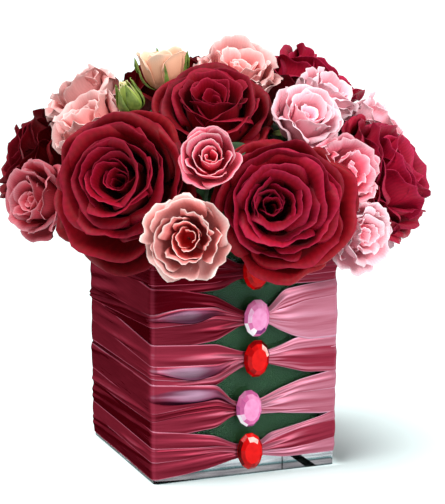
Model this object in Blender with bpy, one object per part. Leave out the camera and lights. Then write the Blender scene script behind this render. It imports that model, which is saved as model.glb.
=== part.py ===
"""Roses in a square glass vase, wrapped with pinched satin ribbons.

Metres, +Z up. The origin is the middle of the vase's foot, and the face with the gems is towards -Y.
The flowers stand on a dome round DOME_CENTRE. Each one's place is a compass azimuth (0 towards -Y, 90
towards +X), an elevation above the horizontal and a reach from DOME_CENTRE.
"""

import math
from collections import namedtuple

import bmesh
import bpy
from mathutils import Matrix, Vector

# Vase
VASE_SIDE = 0.127
VASE_HEIGHT = 0.1524
GLASS_WALL = 0.004
GLASS_BASE = 0.012
GLASS_EDGE = 0.0015
HOLLOW_RUN_OUT = 0.010

# Clearance between pieces that touch
GAP = 0.0003

# Floral foam
FOAM_SIDE = 0.118
FOAM_TOP = 0.178
FOAM_EDGE = 0.012
FOAM_CHAMFER = 0.0035
HOLE_CLEARANCE = 0.0004
HOLE_RUN_OUT = 0.012

# Ribbon bands
BAND_COUNT = 5
BAND_FOOT = 0.008
BAND_PITCH = 0.0284
BAND_HALF_HEIGHT = 0.0139
PINCH_HALF_HEIGHT = 0.0045
PINCH_REACH = 0.65
BAND_THICKNESS = 0.0012
PINCH_THICKNESS = 0.0032
BAND_CORNER = 0.002

# Gems: height above the foot and distance right of the face's middle, from the lowest up
GEM_WIDTH = 0.018
GEM_HEIGHT = 0.025
GEM_DEPTH = 0.0065
Gem = namedtuple("Gem", "name height aside tilt red")
GEMS = (
    Gem("gem_1", 0.017, 0.0015, 4, True),
    Gem("gem_2", 0.046, 0.0006, 3, False),
    Gem("gem_3", 0.079, 0.0060, -4, True),
    Gem("gem_4", 0.106, 0.0060, -2, False),
    Gem("gem_5", 0.137, 0.0052, 3, True),
)

# Flowers: azimuth and elevation in degrees, reach and radius in millimetres, and where the face turns
DOME_CENTRE = Vector((0, 0, 0.150))
Flower = namedtuple("Flower", "name kind azimuth elevation reach radius face_azimuth face_elevation")
FLOWERS = (
    Flower("red_rose_1", "rose", -55, 26, 109, 45, -38, 19),
    Flower("red_rose_2", "rose", 7, 18, 108, 45, -16, 16),
    Flower("red_rose_3", "rose", -19, 63, 96, 40, -22, 56),
    Flower("red_rose_4", "rose", 64, 19, 121, 43, 55, 32),
    Flower("red_rose_5", "rose", 105, 46, 122, 42, 80, 52),
    Flower("red_rose_6", "rose", -128, 19, 132, 37, -108, 24),
    Flower("red_rose_7", "rose", -165, 61, 104, 38, -155, 62),
    Flower("red_rose_8", "rose", 110, 12, 118, 41, 110, 16),
    Flower("red_rose_9", "rose", 155, 12, 118, 41, 155, 18),
    Flower("red_rose_10", "rose", -159, 12, 118, 40, -159, 18),
    Flower("pink_rose_1", "spray_rose", -99, 13, 119, 26, -68, 15),
    Flower("pink_rose_2", "spray_rose", -88, 42, 115, 28, -84, 58),
    Flower("pink_rose_3", "spray_rose", -120, 45, 125, 27, -112, 50),
    Flower("pink_rose_4", "spray_rose", -21, 33, 121, 19, -21, 28),
    Flower("pink_rose_5", "spray_rose", -27, 9, 127, 27, -25, 10),
    Flower("pink_rose_6", "spray_rose", 85, 80, 108, 29, 0, 62),
    Flower("pink_rose_7", "spray_rose", 31, 47, 114, 24, 10, 45),
    Flower("pink_rose_8", "spray_rose", 71, 50, 118, 24, 46, 52),
    Flower("pink_rose_9", "spray_rose", 82, 30, 134, 25, 64, 34),
    Flower("pink_rose_10", "spray_rose", 35, 25, 114, 26, 20, 22),
    Flower("pink_rose_11", "spray_rose", 33, 6, 118, 23, 14, 6),
    Flower("pink_rose_12", "spray_rose", 84, 2, 120, 22, 88, 6),
    Flower("pink_rose_13", "spray_rose", 130, 3, 122, 23, 130, 8),
    Flower("pink_rose_14", "spray_rose", 179, 3, 121, 22, 179, 8),
    Flower("pink_rose_15", "spray_rose", 133, 28, 120, 26, 136, 30),
    Flower("pink_rose_16", "spray_rose", 179, 30, 119, 27, 179, 34),
    Flower("pink_rose_17", "spray_rose", -150, 36, 119, 26, -148, 38),
    Flower("pink_rose_18", "spray_rose", 150, 50, 113, 29, 150, 54),
    Flower("peach_bud", "bud", -96, 74, 117, 13, -96, 82),
    Flower("green_bud", "bud", -69, 54, 117, 10, -70, 64),
)

# Spray stems, each with how far beyond the foam it forks, in millimetres, and the flowers it carries
SPRAYS = (
    ("spray_stem_1", 6, ("pink_rose_1", "pink_rose_2")),
    ("spray_stem_2", 8, ("pink_rose_3", "green_bud", "peach_bud")),
    ("spray_stem_3", 6, ("pink_rose_4", "pink_rose_5")),
    ("spray_stem_4", 6, ("pink_rose_6", "pink_rose_7", "pink_rose_8")),
    ("spray_stem_5", 6, ("pink_rose_10", "pink_rose_11")),
    ("spray_stem_6", 6, ("pink_rose_9", "pink_rose_12")),
    ("spray_stem_7", 16, ("pink_rose_13", "pink_rose_15", "pink_rose_18")),
    ("spray_stem_8", 6, ("pink_rose_14", "pink_rose_16", "pink_rose_17")),
)

# Half the height of a bloom over its radius, and the length of its sepals over its radius
HALF_HEIGHT = {"rose": 0.62, "spray_rose": 0.66, "bud": 1.1}
SEPAL_SPAN = {"rose": 0.62, "spray_rose": 0.66, "bud": 0.9}
# What a bloom claims against its neighbours over its radius: a bud keeps room for its sepals
CLAIM = {"rose": 1.0, "spray_rose": 1.0, "bud": 1.6}
# Segments round a bloom and rings from pole to pole
BLOOM_GRID = {"rose": (16, 9), "spray_rose": (12, 7), "bud": (10, 6)}

# Stems
ROSE_STEM_RADIUS = 0.0028
SPRAY_STEM_RADIUS = 0.0022
BRANCH_RADIUS = 0.0015
CALYX_HEIGHT = 0.007
# A stem's line starts from a focus on the axis, lower for the flowers near the top of the dome
LOW_FOCUS = Vector((0, 0, 0.150))
LOW_START = 0.026
HIGH_FOCUS = Vector((0, 0, 0.125))
HIGH_START = 0.022
HIGH_ELEVATION = 50
STEM_LEAD = 0.003
BRANCH_OFFSET = 0.6
BRANCH_SPLAY = 0.4

# Colours
RED_PETAL = (0.42, 0.01, 0.03)
PINK_PETAL = (0.85, 0.35, 0.40)
PEACH_PETAL = (0.88, 0.50, 0.38)
STEM_GREEN = (0.10, 0.20, 0.05)
BUD_GREEN = (0.20, 0.30, 0.06)
FOAM_GREEN = (0.03, 0.11, 0.05)
GLASS_TINT = (0.80, 0.90, 0.90)
RIBBON_ROSE = (0.52, 0.16, 0.24)
GEM_RED = (0.75, 0.01, 0.02)
GEM_PINK = (0.80, 0.25, 0.50)


def clear_scene():
    for obj in list(bpy.data.objects):
        bpy.data.objects.remove(obj, do_unlink=True)


def new_collection(name):
    collection = bpy.data.collections.new(name)
    bpy.context.scene.collection.children.link(collection)
    return collection


def material(name, colour, roughness, transmission=0.0):
    made = bpy.data.materials.new(name)
    made.use_nodes = True
    shader = made.node_tree.nodes["Principled BSDF"]
    shader.inputs["Base Color"].default_value = (*colour, 1.0)
    shader.inputs["Roughness"].default_value = roughness
    shader.inputs["Transmission Weight"].default_value = transmission
    made.diffuse_color = (*colour, 1.0)
    return made


def add_object(name, bm, collection, finish=None):
    """A mesh object made from bm, which is freed."""
    mesh = bpy.data.meshes.new(name)
    bm.to_mesh(mesh)
    bm.free()
    obj = bpy.data.objects.new(name, mesh)
    collection.objects.link(obj)
    if finish:
        mesh.materials.append(finish)
        mesh.shade_smooth()
        mesh.set_sharp_from_angle(angle=math.radians(35))
    return obj


def helper(obj):
    obj.hide_render = True
    obj.display_type = "WIRE"
    return obj


def combine(obj, other, operation):
    modifier = obj.modifiers.new(other.name, "BOOLEAN")
    modifier.operation = operation
    modifier.object = other


def box(width, depth, low, high, edge=0.0, top_edge=0.0):
    """An upright box round the Z axis with its vertical and top edges bevelled."""
    bm = bmesh.new()
    bmesh.ops.create_cube(bm, size=1.0)
    for v in bm.verts:
        v.co = Vector((v.co.x * width, v.co.y * depth, low if v.co.z < 0 else high))
    upright = [e for e in bm.edges if abs(e.verts[0].co.z - e.verts[1].co.z) > 1e-6]
    if edge:
        bmesh.ops.bevel(bm, geom=upright, offset=edge, segments=2, profile=0.5, affect="EDGES")
    if top_edge:
        rim = [e for e in bm.edges if all(abs(v.co.z - high) < 1e-6 for v in e.verts)]
        bmesh.ops.bevel(bm, geom=rim, offset=top_edge, segments=1, affect="EDGES")
    return bm


def direction(azimuth, elevation):
    a = math.radians(azimuth)
    e = math.radians(elevation)
    return Vector((math.sin(a) * math.cos(e), -math.cos(a) * math.cos(e), math.sin(e)))


def centre_of(flower):
    return DOME_CENTRE + direction(flower.azimuth, flower.elevation) * flower.reach / 1000


def facing(flower):
    return direction(flower.face_azimuth, flower.face_elevation)


def base_of(flower):
    """The middle of the bloom's underside, where its calyx sits."""
    return centre_of(flower) - facing(flower) * HALF_HEIGHT[flower.kind] * flower.radius / 1000


def room_limits(flower):
    """(direction, distance) of the planes that part this bloom from its neighbours.

    Each plane lies where the powers of the two points with respect to both spheres are equal, so the
    larger bloom keeps the larger share.
    """
    here = centre_of(flower)
    own = CLAIM[flower.kind] * flower.radius / 1000
    limits = []
    for other in FLOWERS:
        apart = centre_of(other) - here
        claim = CLAIM[other.kind] * other.radius / 1000
        if other is flower or apart.length > 1.5 * (own + claim):
            continue
        share = (apart.length**2 + own**2 - claim**2) / (2 * apart.length)
        limits.append((apart.normalized(), share - GAP / 2))
    return limits


def bloom_radius(kind, polar, turn):
    """How far the petals reach from the centre, for a unit bloom.

    An oblate or prolate ball, with petal ridges that wind round it and a hollow at its front.
    """
    half = HALF_HEIGHT[kind]
    ball = 1 / math.hypot(math.sin(polar), math.cos(polar) / half)
    if kind == "bud":
        return ball * (1 + 0.05 * math.sin(polar) * math.cos(5 * turn))
    ridges = 0.05 * math.sin(polar) * math.cos(5 * turn + 3.2 * polar)
    hollow = 0.30 * math.exp(-((polar / 0.30) ** 2))
    return ball * (1 + ridges - hollow)


def make_bloom(flower, collection, finish):
    segments, rings = BLOOM_GRID[flower.kind]
    turned = facing(flower).to_track_quat("Z", "Y").to_matrix()
    limits = room_limits(flower)
    bm = bmesh.new()
    bmesh.ops.create_uvsphere(bm, u_segments=segments, v_segments=rings, radius=1.0)
    for v in bm.verts:
        polar = math.acos(max(-1.0, min(1.0, v.co.z)))
        turn = math.atan2(v.co.y, v.co.x)
        way = turned @ v.co.normalized()
        reach = bloom_radius(flower.kind, polar, turn) * flower.radius / 1000
        for limit, distance in limits:
            towards = way.dot(limit)
            if towards > 0:
                reach = min(reach, distance / towards)
        v.co = centre_of(flower) + way * reach
    return add_object(flower.name, bm, collection, finish)


def make_calyx(name, flower, collection):
    """The hip with five sepals under a bloom: a ball whose middle ring runs out into a star."""
    axis = facing(flower)
    turned = axis.to_track_quat("Z", "Y").to_matrix()
    span = SEPAL_SPAN[flower.kind] * flower.radius / 1000
    hip = 0.15 * span + 0.0022
    bm = bmesh.new()
    bmesh.ops.create_uvsphere(bm, u_segments=10, v_segments=6, radius=1.0)
    for v in bm.verts:
        turn = math.atan2(v.co.y, v.co.x)
        point = Vector((v.co.x * hip, v.co.y * hip, v.co.z * CALYX_HEIGHT / 2))
        if abs(v.co.z) < 0.1:
            star = 0.5 + 0.5 * math.cos(5 * turn)
            point.x += math.cos(turn) * span * 0.5 * star
            point.y += math.sin(turn) * span * 0.5 * star
            point.z -= span * 0.1 * star
        point.z -= CALYX_HEIGHT / 2 + GAP
        v.co = base_of(flower) + turned @ point
    return add_object(name, bm, collection)


def tube(name, points, radii, collection):
    """A mesh tube with filled ends along a list of points."""
    curve = bpy.data.curves.new(name, "CURVE")
    curve.dimensions = "3D"
    curve.bevel_depth = 1.0
    curve.bevel_resolution = 2
    curve.use_fill_caps = True
    line = curve.splines.new("POLY")
    line.points.add(len(points) - 1)
    for spot, point, radius in zip(line.points, points, radii):
        spot.co = (*point, 1.0)
        spot.radius = radius
    guide = bpy.data.objects.new(name + "_guide", curve)
    collection.objects.link(guide)
    graph = bpy.context.evaluated_depsgraph_get()
    mesh = bpy.data.meshes.new_from_object(guide.evaluated_get(graph))
    bpy.data.objects.remove(guide, do_unlink=True)
    bm = bmesh.new()
    bm.from_mesh(mesh)
    bmesh.ops.remove_doubles(bm, verts=bm.verts, dist=1e-6)
    return add_object(name, bm, collection)


def bend(start, leaving, end, arriving, count):
    """Points along a cubic Bezier curve, which leaves and arrives along the given directions."""
    pull = (end - start).length / 3
    first = start + leaving * pull
    last = end - arriving * pull
    spots = []
    for i in range(count + 1):
        t = i / count
        early = start * (1 - t) ** 3 + first * 3 * t * (1 - t) ** 2
        spots.append(early + last * 3 * t**2 * (1 - t) + end * t**3)
    return spots


def foam_exit(focus, way):
    """How far from focus a line leaves the foam."""
    side = FOAM_SIDE / 2
    reaches = [(FOAM_TOP - focus.z) / way.z if way.z > 0 else math.inf]
    reaches += [side / abs(c) for c in (way.x, way.y) if abs(c) > 1e-6]
    return min(reaches)


def root_line(target):
    """(focus, direction, start) of the straight foot of a stem that leads to target."""
    out = target - DOME_CENTRE
    elevation = math.degrees(math.asin(out.z / out.length))
    high = elevation > HIGH_ELEVATION
    focus = HIGH_FOCUS if high else LOW_FOCUS
    start = HIGH_START if high else LOW_START
    return focus, (target - focus).normalized(), start


def make_hole(name, focus, way, start, radius, collection):
    """A cutter for a stem's hole in the foam, wider than the stem by HOLE_CLEARANCE."""
    sides = 8
    low = start - HOLE_CLEARANCE
    high = foam_exit(focus, way) + HOLE_RUN_OUT
    wide = (radius + HOLE_CLEARANCE) / math.cos(math.pi / sides)
    bm = bmesh.new()
    bmesh.ops.create_cone(
        bm, cap_ends=True, segments=sides, radius1=wide, radius2=wide, depth=high - low
    )
    turned = way.to_track_quat("Z", "Y").to_matrix().to_4x4()
    place = Matrix.Translation(focus + way * (low + high) / 2) @ turned
    bmesh.ops.transform(bm, matrix=place, verts=bm.verts)
    return helper(add_object(name + "_hole", bm, collection))


def calyx_foot(flower):
    """Where a stem ends, inside the hip."""
    return base_of(flower) - facing(flower) * CALYX_HEIGHT * 0.6


def make_rose_stem(flower, collection, cutters, finish):
    """A straight foot in the foam, then a curve into the hip under the bloom. It returns its hole."""
    name = flower.name.replace("rose", "rose_stem")
    end = calyx_foot(flower)
    focus, way, start = root_line(end)
    leave = focus + way * (foam_exit(focus, way) + STEM_LEAD)
    points = [focus + way * start] + bend(leave, way, end, facing(flower), 4)
    radii = [ROSE_STEM_RADIUS] * len(points)
    stem = tube(name, points, radii, collection)
    stem.data.materials.append(finish)
    combine(stem, helper(make_calyx(name + "_calyx", flower, cutters)), "UNION")
    return make_hole(name, focus, way, start, ROSE_STEM_RADIUS, cutters)


def make_spray_stem(name, beyond, carried, collection, cutters, finish):
    """One foot in the foam that forks above it into a branch for each flower. It returns its hole."""
    ends = [calyx_foot(flower) for flower in carried]
    middle = sum(ends, Vector()) / len(ends)
    focus, way, start = root_line(middle)
    fork = focus + way * (foam_exit(focus, way) + beyond / 1000)
    points = [focus + way * start, focus + way * start * 1.5, fork]
    radii = [SPRAY_STEM_RADIUS, SPRAY_STEM_RADIUS, SPRAY_STEM_RADIUS]
    stem = tube(name, points, radii, collection)
    stem.data.materials.append(finish)
    for flower, end in zip(carried, ends):
        aside = (end - fork) - way * (end - fork).dot(way)
        root = fork - way * BRANCH_RADIUS + aside.normalized() * BRANCH_RADIUS * BRANCH_OFFSET
        path = bend(root, (way + aside.normalized() * BRANCH_SPLAY).normalized(), end, facing(flower), 4)
        branch = tube(f"{name}_to_{flower.name}", path, [BRANCH_RADIUS] * len(path), cutters)
        combine(stem, helper(branch), "UNION")
        combine(stem, helper(make_calyx(f"{name}_{flower.name}_calyx", flower, cutters)), "UNION")
    return make_hole(name, focus, way, start, SPRAY_STEM_RADIUS, cutters)


def make_vase(collection, cutters, finish):
    body = add_object(
        "glass_vase", box(VASE_SIDE, VASE_SIDE, 0.0, VASE_HEIGHT, GLASS_EDGE), collection, finish
    )
    inner = VASE_SIDE - 2 * GLASS_WALL
    hollow = box(inner, inner, GLASS_BASE, VASE_HEIGHT + HOLLOW_RUN_OUT, GLASS_EDGE)
    combine(body, helper(add_object("vase_hollow", hollow, cutters)), "DIFFERENCE")


def make_foam(holes, collection, finish):
    block = box(FOAM_SIDE, FOAM_SIDE, GLASS_BASE + GAP, FOAM_TOP, FOAM_EDGE, FOAM_CHAMFER)
    foam = add_object("floral_foam", block, collection, finish)
    for hole in holes:
        combine(foam, hole, "DIFFERENCE")
    return foam


def band_outline():
    """(point on the glass, outward direction, distance from the pinch) round the vase.

    The front face has closer points near its middle, where the band is pinched. Distances are a share
    of half a side, and they stop at 1 beyond the front face.
    """
    half = VASE_SIDE / 2
    flat = half - BAND_CORNER
    steps = (-1, -0.66, -0.42, -0.22, -0.1, 0, 0.1, 0.22, 0.42, 0.66, 1)
    spots = [(Vector((x * flat, -half, 0)), Vector((0, -1, 0)), abs(x)) for x in steps]
    for turn in range(1, 5):
        spin = Matrix.Rotation(turn * math.pi / 2, 3, "Z")
        slant = Matrix.Rotation(turn * math.pi / 2 - math.pi / 4, 3, "Z") @ Vector((0, -1, 0))
        corner = Matrix.Rotation(turn * math.pi / 2, 3, "Z") @ Vector((-flat, -flat, 0))
        spots.append((corner + slant * BAND_CORNER, slant, 1.0))
        if turn < 4:
            for x in (-1, 1):
                spots.append((spin @ Vector((x * flat, -half, 0)), spin @ Vector((0, -1, 0)), 1.0))
    return spots


def make_band(number, gem, collection, finish):
    """A ribbon round the vase, as a ring whose section is low and thick at the pinch.

    Each band fans out from the gem's height at the pinch to its own place in the stack.
    """
    middle = BAND_FOOT + BAND_PITCH * (number - 0.5)
    bm = bmesh.new()
    loops = []
    for spot, out, away in band_outline():
        spread = min(1.0, away / PINCH_REACH)
        tall = PINCH_HALF_HEIGHT + (BAND_HALF_HEIGHT - PINCH_HALF_HEIGHT) * spread**0.9
        thick = PINCH_THICKNESS + (BAND_THICKNESS - PINCH_THICKNESS) * min(1.0, away / 0.3)
        height = gem.height + (middle - gem.height) * away
        if away == 0:
            spot = spot + Vector((gem.aside, 0, 0))
        section = []
        for push, rise in ((GAP, -tall), (GAP + thick, -tall), (GAP + thick, tall), (GAP, tall)):
            section.append(bm.verts.new(spot + out * push + Vector((0, 0, height + rise))))
        loops.append(section)
    for this, after in zip(loops, loops[1:] + loops[:1]):
        for i in range(4):
            bm.faces.new((this[i], this[i - 1], after[i - 1], after[i]))
    bmesh.ops.recalc_face_normals(bm, faces=bm.faces)
    return add_object(f"ribbon_band_{number}", bm, collection, finish)


def make_gem(gem, collection, finish):
    """An oval stone with a flat back, which lies on the ribbon's pinch."""
    back = -VASE_SIDE / 2 - GAP - PINCH_THICKNESS - GAP
    spin = Matrix.Rotation(math.radians(gem.tilt), 3, "Y")
    bm = bmesh.new()
    bmesh.ops.create_uvsphere(bm, u_segments=12, v_segments=8, radius=1.0)
    for v in bm.verts:
        outline = Vector((v.co.x * GEM_WIDTH / 2, 0, v.co.y * GEM_HEIGHT / 2))
        front = back - max(0.0, v.co.z + 0.15) / 1.15 * GEM_DEPTH
        v.co = spin @ outline + Vector((gem.aside, front, gem.height))
    bmesh.ops.remove_doubles(bm, verts=bm.verts, dist=1e-6)
    return add_object(gem.name, bm, collection, finish)


def main():
    clear_scene()
    parts = new_collection("roses_in_vase")
    cutters = new_collection("cutters")
    petals = {
        "rose": material("red_petals", RED_PETAL, 0.6),
        "spray_rose": material("pink_petals", PINK_PETAL, 0.6),
        "peach_bud": material("peach_petals", PEACH_PETAL, 0.6),
        "green_bud": material("bud_green", BUD_GREEN, 0.6),
    }
    green = material("stem_green", STEM_GREEN, 0.6)
    ribbon = material("satin_ribbon", RIBBON_ROSE, 0.35)
    stones = {True: material("red_gem", GEM_RED, 0.05), False: material("pink_gem", GEM_PINK, 0.05)}
    make_vase(parts, cutters, material("clear_glass", GLASS_TINT, 0.03, 1.0))
    flowers = {flower.name: flower for flower in FLOWERS}
    holes = []
    for flower in FLOWERS:
        make_bloom(flower, parts, petals.get(flower.name) or petals[flower.kind])
        if flower.kind == "rose":
            holes.append(make_rose_stem(flower, parts, cutters, green))
    for name, beyond, carried in SPRAYS:
        held = [flowers[each] for each in carried]
        holes.append(make_spray_stem(name, beyond, held, parts, cutters, green))
    make_foam(holes, parts, material("wet_foam", FOAM_GREEN, 0.9))
    for number, gem in zip(range(1, BAND_COUNT + 1), GEMS):
        make_band(number, gem, parts, ribbon)
        make_gem(gem, parts, stones[gem.red])


main()
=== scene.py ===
"""Red and pink roses in a square glass vase, dressed with pinched satin ribbons and oval gems."""

import math
from collections import namedtuple

import bpy
import numpy as np
from mathutils import Matrix, Vector


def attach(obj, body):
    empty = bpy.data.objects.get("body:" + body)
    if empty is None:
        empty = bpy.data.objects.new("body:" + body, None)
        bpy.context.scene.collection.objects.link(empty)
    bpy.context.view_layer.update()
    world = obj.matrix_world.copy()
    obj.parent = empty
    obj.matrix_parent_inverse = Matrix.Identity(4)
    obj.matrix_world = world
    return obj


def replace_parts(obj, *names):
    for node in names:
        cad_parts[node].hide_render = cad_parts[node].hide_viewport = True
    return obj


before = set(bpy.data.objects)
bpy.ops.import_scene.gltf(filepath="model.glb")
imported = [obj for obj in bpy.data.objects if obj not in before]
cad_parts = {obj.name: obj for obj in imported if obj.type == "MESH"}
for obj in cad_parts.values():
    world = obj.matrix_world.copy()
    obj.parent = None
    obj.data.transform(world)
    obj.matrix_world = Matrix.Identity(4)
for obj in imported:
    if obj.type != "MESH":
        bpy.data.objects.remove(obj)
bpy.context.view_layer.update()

MM = 0.001
ROSE_COUNT = 10
SPRAY_STEM_COUNT = 8


# ---- mesh helpers


def unit(v):
    return v / np.maximum(np.linalg.norm(v, axis=-1, keepdims=True), 1e-12)


def smooth(x):
    """The smoothstep of x between 0 and 1."""
    x = np.clip(x, 0.0, 1.0)
    return x * x * (3 - 2 * x)


def bump(x, centre, width):
    return np.exp(-(((x - centre) / width) ** 2))


def placed_object(name, data):
    obj = bpy.data.objects.new(name, data)
    bpy.context.scene.collection.objects.link(obj)
    return obj


def aim_along(obj, way):
    """Turns a light or a camera to look along way, upright."""
    obj.rotation_mode = "QUATERNION"
    obj.rotation_quaternion = way.to_track_quat("-Z", "Y")


def mesh_object(name, points, faces, material, uv=None, values=None):
    """A mesh at the origin from arrays of points and of four-cornered faces, riding on the root body.

    uv holds one pair a point, and values holds named point attributes.
    """
    mesh = bpy.data.meshes.new(name)
    faces = np.asarray(faces, np.int32)
    mesh.vertices.add(len(points))
    mesh.vertices.foreach_set("co", np.asarray(points, np.float32).ravel())
    mesh.loops.add(faces.size)
    mesh.loops.foreach_set("vertex_index", faces.ravel())
    mesh.polygons.add(len(faces))
    mesh.polygons.foreach_set("loop_start", np.arange(len(faces), dtype=np.int32) * faces.shape[1])
    if uv is not None:
        layer = mesh.uv_layers.new(name="UVMap")
        layer.data.foreach_set("uv", np.asarray(uv, np.float32)[faces.ravel()].ravel())
    for key, value in (values or {}).items():
        layer = mesh.attributes.new(key, "FLOAT", "POINT")
        layer.data.foreach_set("value", np.asarray(value, np.float32).ravel())
    mesh.update(calc_edges=True)
    mesh.validate()
    mesh.shade_smooth()
    mesh.materials.append(material)
    obj = placed_object(name, mesh)
    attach(obj, "root")
    return obj


def grid_faces(rows, columns):
    """Four-cornered faces of a rows by columns grid of points, whose normal is rows' way x columns' way."""
    i, j = np.meshgrid(np.arange(rows - 1), np.arange(columns - 1), indexing="ij")
    a = (i * columns + j).ravel()
    return np.stack([a, a + columns, a + columns + 1, a + 1], axis=1)


def border(rows, columns):
    """The grid's edge points, once round it."""
    top = np.arange(columns)
    right = np.arange(1, rows) * columns + columns - 1
    bottom = (rows - 1) * columns + np.arange(columns - 2, -1, -1)
    left = np.arange(rows - 2, 0, -1) * columns
    return np.concatenate([top, right, bottom, left])


def thick_sheets(sheets, thickness):
    """Closed thin shells from a stack of point grids, shape (count, rows, columns, 3).

    Each grid is moved half its thickness along its own normals to both sides, and the two are sewn round
    the edge. thickness holds one value a point.
    """
    count, rows, columns, _ = sheets.shape
    across = np.gradient(sheets, axis=1)
    along = np.gradient(sheets, axis=2)
    normal = unit(np.cross(across, along))
    lift = normal * thickness[..., None] / 2
    points = np.stack([sheets + lift, sheets - lift], axis=1).reshape(-1, 3)
    front = grid_faces(rows, columns)
    ring = border(rows, columns)
    after = np.roll(ring, -1)
    size = rows * columns
    wall = np.stack([ring, after, after + size, ring + size], axis=1)
    one = np.concatenate([front, front[:, ::-1] + size, wall])
    faces = (one[None] + (np.arange(count) * 2 * size)[:, None, None]).reshape(-1, 4)
    return points, faces


# ---- material helpers


def fill(tree, socket, value):
    """A socket takes a number, a colour of three numbers, a vector, or another node's output."""
    if isinstance(value, (int, float)):
        socket.default_value = value
    elif isinstance(value, tuple):
        socket.default_value = (*value, 1.0)[: len(socket.default_value)]
    else:
        tree.links.new(value, socket)


def fill_named(tree, sockets, values):
    for key, value in values.items():
        fill(tree, sockets[key.replace("_", " ")], value)


def node(tree, kind, sockets=(), **settings):
    """A shader node whose sockets are filled by name from a dict, or in order from a tuple."""
    made = tree.nodes.new("ShaderNode" + kind)
    for key, value in settings.items():
        setattr(made, key, value)
    for key, value in sockets.items() if isinstance(sockets, dict) else enumerate(sockets):
        fill(tree, made.inputs[key], value)
    return made


def principled(name, **values):
    """A material with one Principled shader, whose sockets are set by name."""
    made = bpy.data.materials.new(name)
    made.use_nodes = True
    shader = made.node_tree.nodes["Principled BSDF"]
    fill_named(made.node_tree, shader.inputs, values)
    return made, made.node_tree, shader


def group(name, colours, numbers, measures):
    """An empty node group that takes colours and numbers, and puts out Color and the measures."""
    tree = bpy.data.node_groups.new(name, "ShaderNodeTree")
    sockets = [(key, "INPUT", "Color") for key in colours] + [(key, "INPUT", "Float") for key in numbers]
    sockets += [("Color", "OUTPUT", "Color")] + [(key, "OUTPUT", "Float") for key in measures]
    for key, way, kind in sockets:
        tree.interface.new_socket(key, in_out=way, socket_type="NodeSocket" + kind)
    return tree, tree.nodes.new("NodeGroupInput").outputs, tree.nodes.new("NodeGroupOutput").inputs


def placed(tree, shared, **values):
    """The outputs of a shared group in a material, with its own input values."""
    made = node(tree, "Group", node_tree=shared)
    fill_named(tree, made.inputs, values)
    return made.outputs


def math_node(tree, operation, *values):
    return node(tree, "Math", values, operation=operation).outputs[0]


def times(tree, a, b):
    return math_node(tree, "MULTIPLY", a, b)


def mix_colour(tree, share, a, b, blend="MIX"):
    return node(tree, "Mix", {0: share, 6: a, 7: b}, data_type="RGBA", blend_type=blend).outputs[2]


def map_range(tree, value, start, end, kind="LINEAR"):
    """value's way from start to end, as 0 to 1."""
    return node(tree, "MapRange", (value, start, end), interpolation_type=kind).outputs[0]


def ramp(tree, level, stops):
    """The colour at a level on a scale of (place, colour) stops."""
    made = node(tree, "ValToRGB", (level,))
    spots = made.color_ramp.elements
    while len(spots) < len(stops):
        spots.new(0.5)
    for spot, (place, colour) in zip(spots, stops):
        spot.position = place
        spot.color = (*colour, 1.0)
    return made.outputs[0]


def attribute(tree, name):
    return node(tree, "Attribute", attribute_name=name).outputs["Fac"]


def surface_map(tree):
    return node(tree, "UVMap", uv_map="UVMap").outputs[0]


def room_place(tree):
    return node(tree, "TexCoord").outputs["Object"]


def stretched(tree, place, scale):
    return node(tree, "Mapping", {"Vector": place, "Scale": scale}).outputs[0]


def noise(tree, place, scale, detail):
    return node(tree, "TexNoise", {"Vector": place, "Scale": scale, "Detail": detail}).outputs["Fac"]


def relief(tree, shader, height, strength, depth):
    """Bumps on a material by a height between 0 and 1, at most depth millimetres."""
    bumps = node(tree, "Bump", {"Height": height, "Strength": strength, "Distance": depth * MM})
    fill(tree, shader.inputs["Normal"], bumps.outputs[0])


def petal_group():
    """The colour and relief of a petal from its UV map: across in U from edge to edge, along in V.

    The colour runs from the claw at the base, through the blade, to the rim, and turns to the guard
    petals' own colour with the square of the petal's age. Fine veins fan out from the base, and tone
    shifts each petal a little at random and lightens the heart's petals, a painted light.
    """
    tree, given, result = group(
        "petal_surface",
        ("Claw", "Blade", "Rim", "Guard"),
        ("Guard Share", "Rim Start", "Vein"),
        ("Roughness", "Height"),
    )
    uv = surface_map(tree)
    along = node(tree, "SeparateXYZ", (uv,)).outputs[1]
    blade = map_range(tree, along, 0.15, 0.75, "SMOOTHSTEP")
    rim = map_range(tree, along, given["Rim Start"], 1.0, "SMOOTHSTEP")
    age = attribute(tree, "age")
    old = times(tree, times(tree, age, age), given["Guard Share"])
    body = mix_colour(tree, blade, given["Claw"], given["Blade"])
    body = mix_colour(tree, rim, body, given["Rim"])
    body = mix_colour(tree, old, body, given["Guard"])
    veins = node(tree, "TexWave", {"Vector": uv, "Scale": 9.0, "Distortion": 5.0, "Detail": 3.0})
    vein = times(tree, veins.outputs["Fac"], given["Vein"])
    blotch = noise(tree, room_place(tree), 60.0, 4.0)
    shade = math_node(tree, "MULTIPLY_ADD", attribute(tree, "tone"), 0.5, 0.75)
    light = math_node(tree, "MULTIPLY_ADD", blotch, 0.3, 0.85)
    fade = math_node(tree, "SUBTRACT", 1.0, vein)
    level = times(tree, times(tree, shade, light), fade)
    grey = node(tree, "CombineColor", (level, level, level)).outputs[0]
    fill(tree, result["Color"], mix_colour(tree, 1.0, body, grey, "MULTIPLY"))
    fill(tree, result["Roughness"], math_node(tree, "MULTIPLY_ADD", blotch, 0.2, 0.42))
    fill(tree, result["Height"], math_node(tree, "MULTIPLY_ADD", blotch, 0.4, vein))
    return tree


PETAL = petal_group()


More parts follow.
